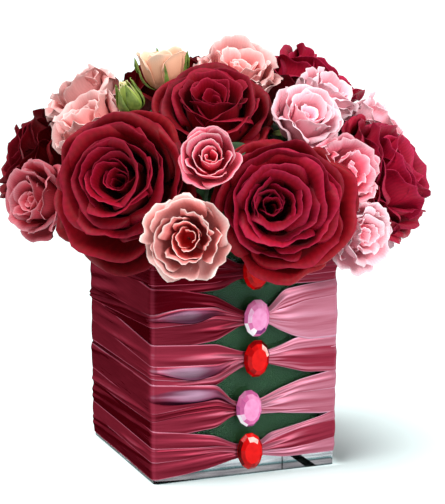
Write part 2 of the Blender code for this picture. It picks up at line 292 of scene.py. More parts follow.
def petal_material(name, claw, blade, rim, guard, guard_share, rim_start=0.7, vein=0.10):
    made, tree, shader = principled(
        name, Sheen_Weight=0.03, Sheen_Roughness=0.4, Sheen_Tint=(1.0, 0.6, 0.7), Specular_IOR_Level=0.15
    )
    look = placed(
        tree, PETAL, Claw=claw, Blade=blade, Rim=rim, Guard=guard, Guard_Share=guard_share,
        Rim_Start=rim_start, Vein=vein,
    )
    fill(tree, shader.inputs["Base Color"], look["Color"])
    fill(tree, shader.inputs["Roughness"], look["Roughness"])
    relief(tree, shader, look["Height"], 0.25, 0.4)
    return made


def leaf_material(name, light, dark, scale):
    """Waxy green with lighter and darker clouds and a fine grain in its relief."""
    made, tree, shader = principled(name, Roughness=0.5, Specular_IOR_Level=0.4)
    clouds = noise(tree, room_place(tree), scale, 6.0)
    fill(tree, shader.inputs["Base Color"], ramp(tree, clouds, [(0.3, dark), (0.7, light)]))
    relief(tree, shader, clouds, 0.3, 0.3)
    return made


# Each dye has its claw, blade, rim, the guard petals' own colour and its share, then where the rim
# starts along the petal and how strong the veins are.
DYES = {
    dye: petal_material(f"{dye}_petals", *values)
    for dye, values in dict(
        # The reds are one red in darker and lighter copies: painted shade for roses that lie in shade,
        # painted light for roses in the light.
        deep_red=(
            (0.15, 0.001, 0.003), (0.18, 0.001, 0.007), (0.23, 0.004, 0.018),
            (0.13, 0.001, 0.002), 0.7, 0.80, 0.15,
        ),
        red=(
            (0.26, 0.001, 0.004), (0.28, 0.002, 0.014), (0.36, 0.008, 0.046),
            (0.24, 0.003, 0.004), 0.7, 0.78, 0.15,
        ),
        wine_red=(
            (0.20, 0.001, 0.003), (0.23, 0.001, 0.009), (0.32, 0.006, 0.032),
            (0.19, 0.002, 0.003), 0.7, 0.80, 0.15,
        ),
        bright_red=(
            (0.32, 0.002, 0.012), (0.38, 0.004, 0.030), (0.45, 0.016, 0.070),
            (0.34, 0.003, 0.020), 0.5, 0.76, 0.15,
        ),
        rosy=((0.36, 0.004, 0.014), (0.58, 0.065, 0.095), (0.66, 0.24, 0.28), (0.60, 0.12, 0.16), 0.4, 0.72),
        salmon=(
            (0.56, 0.06, 0.065), (0.84, 0.34, 0.33), (0.88, 0.57, 0.55),
            (0.90, 0.58, 0.55), 0.5, 0.72, 0.05,
        ),
        candy=((0.54, 0.010, 0.05), (0.88, 0.19, 0.28), (0.92, 0.50, 0.57), (0.92, 0.48, 0.55), 0.4),
        cherry=((0.60, 0.010, 0.04), (0.84, 0.14, 0.22), (0.96, 0.54, 0.58), (0.82, 0.20, 0.28), 0.5, 0.76),
        coral=(
            (0.62, 0.02, 0.03), (0.84, 0.24, 0.23), (0.98, 0.72, 0.67),
            (0.98, 0.72, 0.68), 0.95, 0.80, 0.05,
        ),
        blush=((0.90, 0.24, 0.34), (1.0, 0.46, 0.54), (1.0, 0.72, 0.78), (1.0, 0.66, 0.73), 0.5, 0.66),
        peach=((1.0, 0.40, 0.22), (1.0, 0.60, 0.40), (1.0, 0.80, 0.64), (1.0, 0.46, 0.30), 0.6, 0.6, 0.04),
        unripe=((0.16, 0.30, 0.03), (0.38, 0.46, 0.09), (0.92, 0.76, 0.48), (0.36, 0.44, 0.10), 0.4, 0.75),
    ).items()
}
LEAF = leaf_material("leaf_green", (0.025, 0.075, 0.018), (0.010, 0.032, 0.008), 120)
STEM = leaf_material("stem_green", (0.045, 0.10, 0.02), (0.02, 0.045, 0.012), 300)
SEPAL = leaf_material("sepal_green", (0.26, 0.34, 0.06), (0.08, 0.14, 0.02), 250)


# ---- blooms


FOAM_HEART = np.array([0.0, 0.0, 0.150])
# Half a ball's height by its radius, and how far its upper pole stands as a share of that.
ROSE_HALF = 0.62
SPRAY_HALF = 0.66
BUD_HALF = 1.1
HOLLOW_SHARE = 0.70
WELD = 2e-5
# A bud keeps its neighbours off a ball larger than its own, and the green bud stands higher on its stem.
BUD_CLAIM = 1.7
BUD_RAISE = {"peach_bud": 0.0, "green_bud": 4.5 * MM}
# Blooms press into each other by the overlap, and their petals yield within the soft distance.
SOFT = 9 * MM
OVERLAP = 4 * MM
GOLDEN = math.radians(137.508)


def read_bloom(name, half):
    """(centre, facing, radius) of a bloom's CAD ball, read from its two poles.

    The poles are the points where the most triangles meet. The lower one, nearest the foam, is half a
    height from the centre, and the upper one is drawn in to HOLLOW_SHARE of that.
    """
    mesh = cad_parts[name].data
    points = np.zeros((len(mesh.vertices), 3), np.float32)
    mesh.vertices.foreach_get("co", points.ravel())
    corners = np.zeros(len(mesh.loops), np.int32)
    mesh.loops.foreach_get("vertex_index", corners)
    steps = np.round(points.astype(float) / WELD).astype(np.int64)
    spots, which = np.unique(steps, axis=0, return_inverse=True)
    meet = np.bincount(which.reshape(-1)[corners], minlength=len(spots))
    poles = spots[np.argsort(-meet)[:2]] * WELD
    poles = poles[np.argsort(np.linalg.norm(poles - FOAM_HEART, axis=1))]
    axis = poles[1] - poles[0]
    length = np.linalg.norm(axis)
    axis /= length
    radius = length / (half * (1 + HOLLOW_SHARE))
    return poles[0] + axis * half * radius, axis, radius


def read_bud(name):
    centre, axis, radius = read_bloom(name, BUD_HALF)
    return centre + BUD_RAISE[name] * axis, axis, radius


def frame_of(axis, roll):
    """Three unit vectors, the third along axis, turned by roll about it."""
    side = unit(np.cross(axis, [0.0, 0.0, 1.0]))
    other = np.cross(axis, side)
    c, s = math.cos(roll), math.sin(roll)
    return np.array([side * c + other * s, other * c - side * s, axis])


def keep_apart(points, own, others):
    """Points pressed back smoothly from the planes that part one bloom from its neighbours.

    Each plane is where the powers to both balls are equal. Within SOFT of it a point's distance follows
    a tanh, so that it never passes the plane.
    """
    centre, _, radius = own
    for other, _, claim in others:
        way = other - centre
        span = np.linalg.norm(way)
        if span < 1e-6 or span > 1.5 * (radius + claim):
            continue
        way = way / span
        share = (span**2 + radius**2 - claim**2) / (2 * span) + OVERLAP
        depth = (points - centre) @ way
        over = np.maximum(depth - (share - SOFT), 0.0)
        points = points - (over - SOFT * np.tanh(over / SOFT))[..., None] * way
    return points


# How petals stand, by their ages from 0 at the heart to 1 at the guard: the tip's distance from the axis
# by the radius and its height by half the ball's height, the belly's distance, the curl in degrees and the
# half width in radians.
Habit = namedtuple("Habit", "age tip_out tip_up belly curl span")
BLOOM_AGES = (0, 0.12, 0.28, 0.45, 0.62, 0.80, 1.0)
ROSE_HABIT = Habit(
    BLOOM_AGES,
    (0.06, 0.15, 0.27, 0.43, 0.61, 0.80, 0.93),
    (0.48, 0.64, 0.92, 0.90, 0.68, 0.32, -0.12),
    (0.12, 0.22, 0.36, 0.52, 0.64, 0.74, 0.80),
    (5, 15, 40, 65, 90, 110, 120),
    (2.6, 2.3, 1.9, 1.6, 1.3, 1.1, 0.95),
)
NARROW_HABIT = ROSE_HABIT._replace(span=(2.2, 1.7, 1.3, 1.05, 0.88, 0.74, 0.66))
OPEN_HABIT = Habit(
    BLOOM_AGES,
    (0.14, 0.30, 0.44, 0.60, 0.76, 0.88, 0.94),
    (0.30, 0.48, 0.78, 0.84, 0.64, 0.30, -0.12),
    (0.16, 0.30, 0.46, 0.60, 0.72, 0.80, 0.84),
    (5, 10, 20, 35, 50, 65, 80),
    (1.8, 1.4, 1.1, 0.95, 0.90, 0.85, 0.80),
)
SPRAY_HABIT = Habit(
    BLOOM_AGES,
    (0.08, 0.20, 0.36, 0.52, 0.70, 0.86, 0.95),
    (0.35, 0.55, 0.86, 0.88, 0.70, 0.38, -0.05),
    (0.14, 0.26, 0.42, 0.56, 0.68, 0.76, 0.80),
    (10, 20, 40, 60, 80, 95, 105),
    (2.2, 1.7, 1.3, 1.05, 0.90, 0.80, 0.75),
)
CUP_HABIT = Habit(
    (0, 0.25, 0.5, 0.75, 1.0),
    (0.12, 0.34, 0.58, 0.80, 0.96),
    (0.50, 0.78, 0.82, 0.66, 0.30),
    (0.20, 0.44, 0.68, 0.86, 0.96),
    (5, 15, 30, 50, 65),
    (2.2, 1.6, 1.25, 1.05, 0.95),
)
BUD_HABIT = Habit(
    (0, 0.3, 0.6, 1.0),
    (0.25, 0.50, 0.80, 1.02),
    (0.30, 0.42, 0.52, 0.48),
    (0.60, 0.90, 1.05, 1.15),
    (5, 10, 15, 35),
    (1.6, 1.3, 1.1, 0.95),
)
SHUT_HABIT = Habit(
    (0, 0.5, 1.0),
    (0.05, 0.14, 0.26),
    (0.62, 0.60, 0.50),
    (0.9, 1.1, 1.25),
    (0, 5, 15),
    (2.2, 1.7, 1.3),
)
# Sepals: thin ones that hug the open bud, and broad ones that clasp the shut one.
HUG_HABIT = Habit((0, 1), (0.85, 1.20), (0.20, 0.60), (1.30, 1.35), (10, 60), (0.16, 0.16))
CLASP_HABIT = Habit((0, 1), (0.42, 0.52), (0.46, 0.60), (1.34, 1.38), (5, 15), (0.56, 0.56))


def bezier(a, b, c, d, t):
    return a * (1 - t) ** 3 + 3 * b * t * (1 - t) ** 2 + 3 * c * t**2 * (1 - t) + d * t**3


def petal_sheets(bloom, half, seed, habit, count, rows, columns, lift=0.22, hang=0.0,
                 ruffle=0.03, spread=1.08, taper=0.0, wild=1.0, aim=(0.0, 0.0, 0.0)):
    """The petals of one bloom as a stack of point grids, from the heart outwards.

    Petals follow the golden angle. Each has an age from 0 at the heart to 1 at the guard petals, and the
    habit's tables give the rest by age. In the plane through the axis a petal is a Bezier curve from the
    base, out to a belly and up to its tip, and its last quarter turns outwards by the curl's angle, more
    at the sides than in the middle. Its outline is rounded by a superellipse that shortens it towards the
    sides, with a small point at the middle of an old petal. Petals that point up in the room stand higher,
    and those that point down hang lower and longer. wild scales all the chance in it, and aim moves the
    heart sideways by shares of the radius, the guard petals not at all.
    """
    centre, axis, radius = bloom
    rng = np.random.default_rng(seed)
    age = np.linspace(0, 1, count)
    jitter = lambda size: rng.uniform(-size, size, count) * wild
    by_age = lambda key: np.interp(age, habit.age, getattr(habit, key))
    basis = frame_of(axis, rng.uniform(0, 2 * math.pi))
    middle = np.arange(count) * GOLDEN + jitter(0.25)
    up = np.cos(middle) * basis[0, 2] + np.sin(middle) * basis[1, 2]
    down = np.maximum(-up, 0.0)
    tip_out = by_age("tip_out") * spread * (1 + jitter(0.05)) * (1 + hang * down**1.5 * age**2)
    tip_up = by_age("tip_up") + jitter(0.08) + lift * up * age**1.5 - hang * down * age**2
    belly = by_age("belly")
    col = lambda a: a[:, None, None]
    aged = col(age)
    u = np.sin(np.linspace(-1, 1, rows) * math.pi / 2)[None, :, None]
    v = (1 - (1 - np.linspace(0, 1, columns)) ** 1.4)[None, None, :]
    round_off = 1 - (1 - np.minimum(np.abs(u), 1) ** 2.3) ** (1 / 2.3)
    point = 0.11 * aged * np.exp(-np.abs(u) / 0.2) * v**6
    reach = v * (1 - (0.14 + 0.26 * aged) * round_off * (0.5 + 0.5 * v)) + point
    old = age**2
    out = bezier(0.05, col(belly), col(tip_out * (1.02 - 0.20 * old)), col(tip_out), reach)
    rise = bezier(-1.0, -0.92, col(tip_up - 0.62 + 0.5 * old), col(tip_up), reach)
    d_out = np.diff(out, axis=2)
    d_rise = np.diff(rise, axis=2) * half
    mid_v = (v[..., 1:] + v[..., :-1]) / 2
    turn = np.radians(by_age("curl")) * (1 + jitter(0.3))
    sides = 0.55 - 0.2 * aged + (0.45 + 0.5 * aged) * np.abs(u + col(jitter(0.35))) ** 1.6
    angle = col(turn) * sides * smooth((mid_v - 0.70) / 0.30) ** 1.3
    wave_phase = col(rng.uniform(-math.pi, math.pi, count))
    wave = np.sin(2.6 * u * math.pi + wave_phase) + 0.6 * np.sin(4.9 * u * math.pi + 2.1 * wave_phase)
    frill = np.sin(8.3 * u * math.pi + 3 * wave_phase) * mid_v**6
    angle = angle + (ruffle * wave * mid_v**3 + 1.5 * ruffle * frill) * (0.3 + 0.7 * aged)
    c, s = np.cos(angle), np.sin(angle)
    step_out = d_out * c + d_rise * s
    step_rise = d_rise * c - d_out * s
    start = np.zeros(out.shape[:2] + (1,))
    out = out[..., :1] + np.concatenate([start, np.cumsum(step_out, axis=2)], axis=2)
    rise = rise[..., :1] * half + np.concatenate([start, np.cumsum(step_rise, axis=2)], axis=2)
    slow = np.sin(math.pi * (1.7 * u + 1.1 * v) + wave_phase)
    slow = slow + np.sin(math.pi * (2.9 * u - 0.7 * v) - wave_phase)
    out = out + 0.035 * u * (0.4 + 0.6 * v) + 0.016 * wild * slow * v * (0.3 + aged)
    rise = rise + 0.016 * wild * np.roll(slow, 1, axis=0) * v * (0.4 + aged)
    width = np.sin(math.pi * (0.18 + 0.50 * v)) ** 0.8 * (1 - taper * v**2)
    span = col(by_age("span") * (1 + jitter(0.12)))
    around = col(middle) + u * span * width
    lean = 0.05 * (1 - aged)
    x = out * np.cos(around) + lean * np.cos(col(middle) * 0.5)
    y = out * np.sin(around) + lean * np.sin(col(middle) * 0.5)
    local = np.stack(np.broadcast_arrays(x, y, rise), axis=-1) * radius
    aside = np.array(aim) - axis * (axis @ np.array(aim))
    return centre + local @ basis + (1 - aged)[..., None] * aside * radius


def petal_mesh(name, sheets, material, seed, thinnest=0.12, thickest=0.42):
    """Petals as closed shells, thin at the margins, each with its age and a tone, random and with painted
    light in the heart.
    """
    count, rows, columns, _ = sheets.shape
    u = np.linspace(-1, 1, rows)[:, None]
    v = np.linspace(0, 1, columns)[None, :]
    edge = np.minimum(1.0, np.minimum((1 - np.abs(u)) / 0.15, (1 - v) / 0.12))
    thickness = (thinnest + (thickest - thinnest) * smooth(edge)) * MM
    points, faces = thick_sheets(sheets, np.broadcast_to(thickness, sheets.shape[:3]))
    uv = np.stack(np.broadcast_arrays((u + 1) / 2, v), axis=-1).reshape(-1, 2)
    age = np.linspace(0, 1, count)
    # The tone is random, plus painted light that brightens the heart's petals.
    tone = np.random.default_rng(seed + 500).uniform(0, 1, count) + 0.7 * (1 - age) ** 3
    values = {key: np.repeat(each, 2 * rows * columns) for key, each in (("tone", tone), ("age", age))}
    return mesh_object(name, points, faces, material, np.tile(uv, (2 * count, 1)), values)


def make_bloom(name, half, habit, count, grid, others, seed, dye, **style):
    bloom = read_bloom(name, half)
    sheets = petal_sheets(bloom, half, seed, habit, count, *grid, **style)
    sheets = keep_apart(sheets, bloom, others)
    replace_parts(petal_mesh(f"{name}_petals", sheets, DYES[dye], seed), name)


def leaf_sheets(bloom, half, seed, length, width, around, first, droop, start, below):
    """Leaves round the stem under a bloom, at the angles of around, each arching out from the axis.

    Along its length a leaf's direction turns from the axis by an angle that begins at first and grows by
    droop, and its width is a sine that ends in a point. It is folded a little along its middle.
    """
    centre, axis, radius = bloom
    rng = np.random.default_rng(seed)
    around = np.asarray(around)[:, None, None]
    shape = around.shape
    u = np.linspace(-1, 1, 9)[None, :, None]
    v = np.linspace(0, 1, 16)[None, None, :]
    turn = first + (droop + rng.uniform(-0.3, 0.3, shape)) * v
    size = length * (1 + rng.uniform(-0.15, 0.15, shape))
    out = start + size * np.cumsum(np.sin(turn), axis=2) / 16
    rise = size * np.cumsum(np.cos(turn), axis=2) / 16 - half * radius - below
    across = width * np.sin(math.pi * (0.12 + 0.88 * v)) ** 0.7 * u
    rise = rise + 0.25 * np.abs(across)
    x = out * np.cos(around) - across * np.sin(around)
    y = out * np.sin(around) + across * np.cos(around)
    local = np.stack(np.broadcast_arrays(x, y, rise), axis=-1)
    return centre + local @ frame_of(axis, 0.0)


# Every red rose's style, with what sets some of them apart.
RED_ROSES = {
    f"red_rose_{i}": dict(seed=10 + i, dye="red", wild=1.5, ruffle=0.045) for i in range(1, ROSE_COUNT + 1)
}
for number, style in {
    # Roses in shade take a darker copy of the red and roses in the light a lighter one: painted shade and
    # painted light.
    1: dict(dye="wine_red", hang=0.36, lift=0.10, spread=1.16),
    2: dict(lift=0.15, aim=(-0.26, 0.10, 0.0)),
    3: dict(dye="wine_red"),
    4: dict(dye="bright_red", spread=1.13),
    5: dict(dye="bright_red", lift=-0.10, spread=1.16),
    6: dict(dye="deep_red", spread=1.20),
    7: dict(dye="deep_red", lift=0.05),
    8: dict(dye="bright_red"),
    10: dict(dye="deep_red"),
}.items():
    RED_ROSES[f"red_rose_{number}"] |= style
PINK_ROSES = {
    f"pink_rose_{i}": dict(seed=40 + i, dye=dye, wild=wild, ruffle=ruffle)
    for i, (dye, wild, ruffle) in enumerate(
        (
            ("rosy", 1.2, 0.08), ("salmon", 1.8, 0.20), ("salmon", 1.8, 0.24), ("cherry", 1.4, 0.07),
            ("coral", 2.3, 0.09), ("salmon", 1.8, 0.20), ("blush", 1.4, 0.12), ("blush", 1.6, 0.18),
            ("blush", 1.6, 0.18), ("candy", 1.8, 0.22), ("blush", 1.8, 0.22), ("blush", 1.5, 0.15),
            ("salmon", 1.3, 0.12), ("blush", 1.5, 0.15), ("blush", 1.4, 0.12), ("rosy", 1.4, 0.12),
            ("salmon", 1.4, 0.12), ("blush", 1.5, 0.15),
        ),
        start=1,
    )
}
# Habit and number of petals, and each petal's grid. Some blooms have a habit of their own.
ROSE_PETALS, ROSE_GRID = (ROSE_HABIT, 29), (27, 18)
SPRAY_PETALS, SPRAY_GRID = (SPRAY_HABIT, 22), (19, 14)
OWN_PETALS = {f"red_rose_{i}": (NARROW_HABIT, 36) for i in (4, 5, 6, 7)}
OWN_PETALS |= {"pink_rose_4": (CUP_HABIT, 14), "pink_rose_5": (OPEN_HABIT, 20)}
BUD_GRID = (17, 14)
BUD_SEPAL_GRID = (7, 16)
# Leaves at one bloom: how many, then their length and half width in millimetres.
ROSE_LEAVES = (3, 42, 13)
SPRAY_LEAVES = (2, 25, 8)
SEPAL_THICKNESS = (0.3, 0.7)
LEAF_THICKNESS = (0.3, 0.6)


def make_leaves(name, bloom, half, seed, count, length, width):
    """Leaves on the stem under a bloom's hip, none of which points down past the vase's rim."""
    upward = -math.pi / 2 + np.linspace(-1.1, 1.1, count) + 0.3 * math.sin(seed)
    sheets = leaf_sheets(bloom, half, seed, length * MM, width * MM, upward, 1.15, 0.2, 1.5 * MM, 11 * MM)
    petal_mesh(f"{name}_leaves", sheets, LEAF, 1, *LEAF_THICKNESS)


def make_sepals(name, bloom, half, seed):
    """Five thin sepals under a bloom, as long as about half its radius."""
    radius = bloom[2]
    around = np.arange(5) * 2 * math.pi / 5 + seed
    sheets = leaf_sheets(
        bloom, half, seed, 0.55 * radius, 0.11 * radius, around, 1.45, 0.9, 0.1 * radius, 1.2 * MM
    )
    petal_mesh(f"{name}_sepals", sheets, SEPAL, 1, *SEPAL_THICKNESS)


def finish_cad(name, material):
    """The CAD node keeps its mesh and gets a new material."""
    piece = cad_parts[name]
    piece.data.materials.clear()
    piece.data.materials.append(material)


def make_blooms():
    balls = {n: read_bloom(n, ROSE_HALF) for n in RED_ROSES}
    balls |= {n: read_bloom(n, SPRAY_HALF) for n in PINK_ROSES}
    buds = [read_bud(n) for n in BUD_RAISE]
    buds = [(centre, axis, BUD_CLAIM * radius) for centre, axis, radius in buds]
    for roses, half, petals, grid in (
        (RED_ROSES, ROSE_HALF, ROSE_PETALS, ROSE_GRID),
        (PINK_ROSES, SPRAY_HALF, SPRAY_PETALS, SPRAY_GRID),
    ):
        for name, style in roses.items():
            others = [ball for other, ball in balls.items() if other != name] + buds
            make_bloom(name, half, *OWN_PETALS.get(name, petals), grid, others, **style)
    for seed, (name, ball) in enumerate(balls.items()):
        half, leaves = (ROSE_HALF, ROSE_LEAVES) if name in RED_ROSES else (SPRAY_HALF, SPRAY_LEAVES)
        make_sepals(name, ball, half, seed)
        make_leaves(name, ball, half, seed, *leaves)
    for i in range(1, ROSE_COUNT + 1):
        finish_cad(f"red_rose_stem_{i}", STEM)
    for i in range(1, SPRAY_STEM_COUNT + 1):
        finish_cad(f"spray_stem_{i}", STEM)


def make_bud(name, dye, seeds, petals, sepals, leaves, **sepal_style):
    """A bud's leaves, petals and sepals. petals and sepals are each a habit and a number."""
    ball = read_bud(name)
    make_leaves(name, ball, BUD_HALF, seeds[0], *leaves)
    sheets = petal_sheets(ball, BUD_HALF, seeds[1], *petals, *BUD_GRID, lift=0.0)
    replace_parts(petal_mesh(f"{name}_petals", sheets, DYES[dye], seeds[2]), name)
    sheets = petal_sheets(ball, BUD_HALF, seeds[3], *sepals, *BUD_SEPAL_GRID, lift=0.0, **sepal_style)
    petal_mesh(f"{name}_sepals", sheets, SEPAL, 1, *SEPAL_THICKNESS)


def make_buds():
    petals, sepals = (BUD_HABIT, 12), (HUG_HABIT, 5)
    make_bud("peach_bud", "peach", (5, 76, 71, 73), petals, sepals, (4, 24, 8), spread=1.15, taper=0.9)
    petals, sepals = (SHUT_HABIT, 6), (CLASP_HABIT, 6)
    make_bud("green_bud", "unripe", (8, 72, 72, 74), petals, sepals, (2, 20, 7), taper=0.8)


# ---- vase, foam, gems and ribbons


VASE_HALF = 63.5 * MM
RIM = 151 * MM
CORNER = 2.5 * MM
# The lengths of half a side's flat and of one corner's arc, and the girth.
FLAT = VASE_HALF - CORNER
ARC = math.pi / 2 * CORNER
PERIMETER = 4 * (2 * FLAT + ARC)
# Gems from the foot up: height and place to the right in millimetres, tilt in degrees, colour.
GEMS = (
    (17.0, 1.5, 4, "red"),
    (46.0, 0.6, 3, "pink"),
    (79.0, 6.0, -4, "red"),
    (106.0, 6.0, -2, "pink"),
    (137.0, 5.2, 3, "red"),
)
# Painted glints and painted dark facets: ring, first step, last step and light, counted from the right
# upwards.
PAINTED_GLINTS = {
    1: ((4, 1, 2, 0.98), (3, 2, 2, 0.75), (3, 4, 6, 0.15), (3, 10, 12, 0.30)),
    2: ((3, 6, 7, 1.0), (4, 6, 6, 0.80), (3, 8, 10, 0.20), (3, 1, 3, 0.35)),
    3: ((4, 0, 1, 0.97), (4, 11, 11, 0.30), (3, 10, 13, 0.10), (3, 2, 3, 0.25), (3, 5, 6, 0.30)),
    4: ((3, 6, 7, 1.0), (4, 7, 7, 0.95), (4, 8, 9, 0.12), (3, 9, 12, 0.35), (4, 4, 5, 0.82)),
    5: ((4, 0, 0, 0.95), (3, 8, 10, 0.20)),
}
GEM_BACK = 67.3 * MM
GEM_HALF = (9 * MM, 12.5 * MM)
GEM_CORNERS = 12
# A gem's rings as shares of its outline and depths in millimetres, from the middle of its back.
GEM_RINGS = ((0.0, 0.0), (0.90, 0.0), (1.00, 0.8), (1.00, 1.4), (0.84, 3.8), (0.60, 5.8), (0.0, 6.1))
# Painted light levels of the table and the facets, the share that follows a facet's facing, and the way that
# painted light comes from.
TABLE_GLOW = 0.62
FACET_GLOW = 0.50
FACET_SHARE = 0.20
PAINTED_FACET_LIGHT = np.array([0.6, 0.0, 0.8])


def gem_material(name, stops):
    """Tinted acrylic whose facets each show a painted light level, dark to bright, in place of the stone's
    reflections.
    """
    made, tree, shader = principled(
        name, Roughness=0.15, Specular_IOR_Level=0.08, Coat_Weight=0.06, Coat_Roughness=0.02
    )
    clouds = noise(tree, room_place(tree), 260.0, 1.0)
    facet = math_node(tree, "SUBTRACT", attribute(tree, "facet"), 0.16)
    level = math_node(tree, "MULTIPLY_ADD", clouds, 0.3, facet)
    fill(tree, shader.inputs["Base Color"], ramp(tree, level, stops))
    return made


def make_gem(name, height, aside, tilt, material, glints):
    """An oval stone with a flat back: rings of corners, each a share of the outline and a depth.

    The last ring closes the table. Between two rings each step round is one flat facet. A facet's painted
    light is greater the more it faces up and to the right, with some chance, except where a painted glint
    or painted dark facet gives it. The table's painted light is even.
    """
    corners = GEM_CORNERS
    rings = np.array(GEM_RINGS)
    turn = (np.arange(corners)[None, :] + 0.5) * 2 * math.pi / corners
    across = rings[:, :1] * GEM_HALF[0] * np.cos(turn)
    upward = rings[:, :1] * GEM_HALF[1] * np.sin(turn)
    lean = math.radians(tilt)
    x = aside * MM + across * math.cos(lean) - upward * math.sin(lean)
    z = height * MM + across * math.sin(lean) + upward * math.cos(lean)
    y = np.broadcast_to(-GEM_BACK - rings[:, 1:] * MM, x.shape)
    points = np.stack([x, y, z], axis=-1)
    ring, step = np.meshgrid(np.arange(len(rings) - 1), np.arange(corners), indexing="ij")
    ring, step = ring.ravel(), step.ravel()
    a, b = ring * corners + step, ring * corners + (step + 1) % corners
    c, d = a + corners, b + corners
    points = points.reshape(-1, 3)
    faces = np.concatenate([np.stack([a, b, d], 1), np.stack([a, d, c], 1)])
    chance = np.random.default_rng(int(height)).uniform(-1, 1, len(ring))
    table = ring == len(rings) - 2
    painted_glow = np.where(table, TABLE_GLOW + 0.02 * chance, FACET_GLOW + 0.10 * chance)
    share = np.where(table, 0.0, FACET_SHARE)
    for level, first, last, light in glints:
        chosen = (ring == level) & ((step - first) % corners <= last - first)
        painted_glow[chosen], share[chosen] = light, 0.0
    painted_glow, share = np.tile(painted_glow, 2), np.tile(share, 2)
    first, second, third = points[faces].transpose(1, 0, 2)
    normal = np.cross(second - first, third - first)
    keep = np.linalg.norm(normal, axis=1) > 1e-12
    lit = unit(normal[keep]) @ PAINTED_FACET_LIGHT
    made = mesh_object(f"{name}_stone", points, faces[keep], material)
    made.data.shade_flat()
    layer = made.data.attributes.new("facet", "FLOAT", "FACE")
    layer.data.foreach_set("value", np.clip(painted_glow[keep] + share[keep] * lit, 0, 1).astype(np.float32))
    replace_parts(made, name)


def ribbon_surface():
    """The colour and weave of satin from the ribbon's UV map, in metres along U and across V.

    shade runs from 0 to 1 over four tones: the dye's deep, middle and pale, and a painted highlight for a
    full fold.
    Long thin streaks of thread break it up. In the puffs the tones turn cooler, purple to lavender, a painted
    sheen.
    """
    tones = ("Deep", "Middle", "Pale", "Gloss")
    tree, given, result = group("satin_weave_and_shade", tones, (), ("Height",))
    streak = noise(tree, stretched(tree, surface_map(tree), (40, 900, 1)), 1.0, 4.0)
    shade = math_node(tree, "SUBTRACT", attribute(tree, "shade"), 0.10)
    level = math_node(tree, "MULTIPLY_ADD", streak, 0.20, shade)
    body = given["Deep"]
    for step, tone in enumerate(tones[1:]):
        body = mix_colour(tree, map_range(tree, level, step / 3, (step + 1) / 3), body, given[tone])
    # Painted sheen: in the puffs the colour turns purple to lavender.
    painted_sheen_colour = ramp(
        tree, level, [(0.12, (0.014, 0.003, 0.009)), (0.40, (0.12, 0.035, 0.07)), (0.80, (0.46, 0.31, 0.42))]
    )
    fill(tree, result["Color"], mix_colour(tree, attribute(tree, "haze"), body, painted_sheen_colour))
    fill(tree, result["Height"], streak)
    return tree


def satin_material():
    made, tree, shader = principled(
        "rose_satin", Roughness=0.42, Metallic=0.4, Specular_IOR_Level=0.0, Specular_Tint=(0.20, 0.02, 0.05)
    )
    look = placed(
        tree,
        ribbon_surface(),
        Deep=(0.07, 0.001, 0.004),
        Middle=(0.30, 0.028, 0.055),
        Pale=(0.56, 0.20, 0.28),
        # Gloss is the colour of a painted highlight.
        Gloss=(0.60, 0.33, 0.44),
    )
    fill(tree, shader.inputs["Base Color"], look["Color"])
    relief(tree, shader, look["Height"], 0.35, 0.15)
    return made


def around_vase(s):
    """(place, outward way) on the rounded square round the vase, at length s from the front's middle."""
    side = 2 * FLAT + ARC
    turns = np.floor((s + FLAT) / side)
    rest = s + FLAT - turns * side
    bend = np.clip((rest - 2 * FLAT) / CORNER, 0, math.pi / 2)
    x = np.minimum(rest, 2 * FLAT) - FLAT + CORNER * np.sin(bend)
    y = -VASE_HALF + CORNER * (1 - np.cos(bend))
    c, sn = np.cos(turns * math.pi / 2), np.sin(turns * math.pi / 2)
    spin = lambda x, y: np.stack([x * c - y * sn, x * sn + y * c], axis=-1)
    return spin(x, y), spin(np.sin(bend), -np.cos(bend))


def length_grid():
    """Places along a ribbon, close together on the front and at the corners, once round the vase."""
    corner, back = FLAT + ARC, 3 * FLAT + 2 * ARC
    spans = (
        (0, FLAT, 55), (FLAT, corner, 5), (corner, corner + 2 * FLAT, 43), (corner + 2 * FLAT, back, 5)
    )
    right = [np.linspace(start, end, steps + 1)[:-1] for start, end, steps in spans]
    right = np.concatenate([*right, np.linspace(back, PERIMETER / 2, 20)])
    return np.concatenate([-right[:0:-1], right[:-1]])


def eased(s, keys, soft=5 * MM):
    """Straight lines between (length in millimetres, value) keys, rounded off over the soft length."""
    keys = np.array(keys, float)
    fine = np.arange(-340, 341, 1.0)
    line = np.interp(fine, keys[:, 0], keys[:, 1])
    window = np.hanning(int(2 * soft / MM) + 3)
    line = np.convolve(line, window / window.sum(), mode="same")
    return np.interp(s, fine * MM, line)


def edge_line(s, back, left_back, left, front, right, right_back):
    """The height along an edge, from its back, both sides' corners and a list of keys on the front."""
    keys = [(-260, back), (-187, left_back), (-66, left), *front, (66, right), (187, right_back), (260, back)]
    return eased(s, keys) * MM


STRIP_ROWS = 34
PLEATS = 6
FAR_FOLDS = 9
FRONT_HALF = 75
SATIN_THICKNESS = 0.30 * MM


